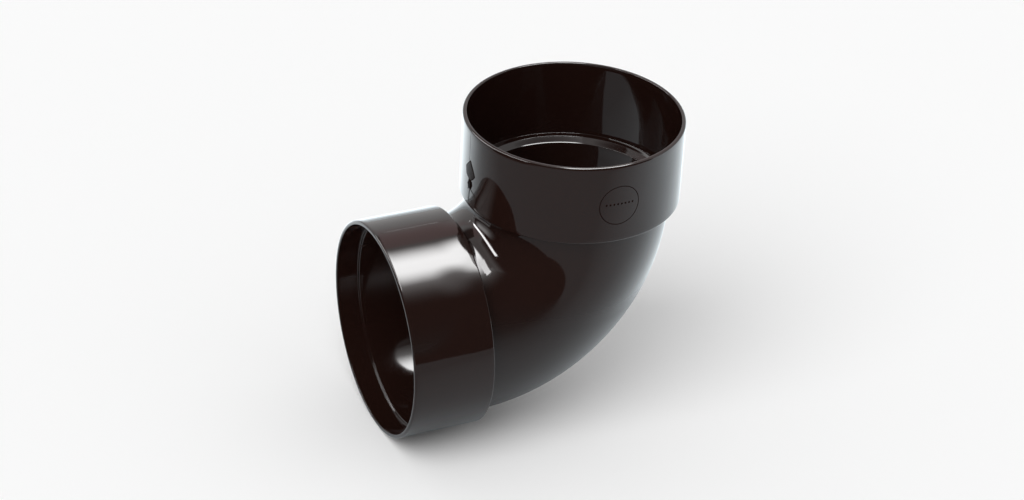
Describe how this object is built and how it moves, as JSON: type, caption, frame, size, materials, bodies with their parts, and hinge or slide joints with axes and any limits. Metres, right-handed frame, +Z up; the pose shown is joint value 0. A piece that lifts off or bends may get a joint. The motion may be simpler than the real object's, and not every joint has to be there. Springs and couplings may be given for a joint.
{
  "type": "downspout elbow",
  "caption": "Glossy dark brown plastic downpipe elbow with a tight near-right-angle bend, moulded in one piece, with a pipe socket at each end; the lower socket has a step a short way inside its mouth.",
  "frame": {"origin": "centre of the inlet socket's flat pipe seat, where the end of the downpipe stops", "axes": "+Z up the inlet socket's axis, out of its mouth; XZ is the plane of symmetry; the outlet socket opens towards -X and 2.5 degrees downwards"},
  "size_m": [0.1505, 0.1046, 0.1525],
  "materials": {
    "brown_plastic": "glossy moulded chocolate brown, near black"
  },
  "bodies": {
    "root": {"elbow_body": "brown_plastic"}
  },
  "joints": []
}
